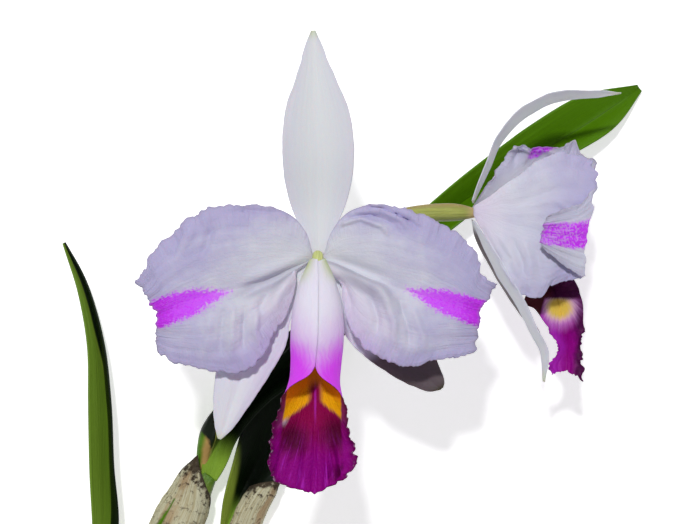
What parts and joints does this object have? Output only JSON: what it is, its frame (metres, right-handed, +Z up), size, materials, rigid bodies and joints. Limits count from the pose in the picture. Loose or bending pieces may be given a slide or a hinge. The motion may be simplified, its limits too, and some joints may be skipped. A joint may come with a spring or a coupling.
{
  "type": "cattleya orchid plant",
  "caption": "Lifted orchid plant lying on its back: flat-faced frilled flower, a side-turned flower, strap leaves, pseudobulbs, rhizome and trimmed roots.",
  "frame": {"origin": "middle of the footprint, on the surface the plant lies on", "axes": "+Y from the roots towards the dorsal sepal, the longest extent; +Z up, the way the front flower faces, the shortest extent"},
  "size_m": [0.2626, 0.349, 0.1238],
  "materials": {
    "petal_white": "matt, soft petal",
    "lip_magenta": "matt, velvety petal",
    "stem_green": "satin, leathery leaf",
    "dry_sheath": "matt, dry and papery",
    "rhizome_brown": "matt, woody"
  },
  "bodies": {
    "root": {"front_dorsal_sepal": "petal_white", "front_left_petal": "petal_white", "front_right_petal": "petal_white", "front_left_sepal": "petal_white", "front_right_sepal": "petal_white", "front_lip": "lip_magenta", "front_column": "stem_green", "front_pedicel": "stem_green", "side_dorsal_sepal": "petal_white", "side_near_sepal": "petal_white", "side_far_sepal": "petal_white", "side_near_petal": "petal_white", "side_far_petal": "petal_white", "side_lip": "lip_magenta", "side_column": "stem_green", "side_pedicel": "stem_green", "flower_stem": "stem_green", "flower_sheath": "stem_green", "tall_leaf": "stem_green", "middle_leaf": "stem_green", "left_leaf": "stem_green", "tall_bulb": "stem_green", "middle_bulb": "stem_green", "left_bulb": "stem_green", "tall_sheath": "dry_sheath", "middle_sheath": "dry_sheath", "tall_base_sheath": "dry_sheath", "middle_base_sheath": "dry_sheath", "left_base_sheath": "dry_sheath", "rhizome": "rhizome_brown", "root_1": "rhizome_brown", "root_2": "rhizome_brown", "root_3": "rhizome_brown", "root_4": "rhizome_brown", "root_5": "rhizome_brown", "root_6": "rhizome_brown"}
  },
  "joints": []
}
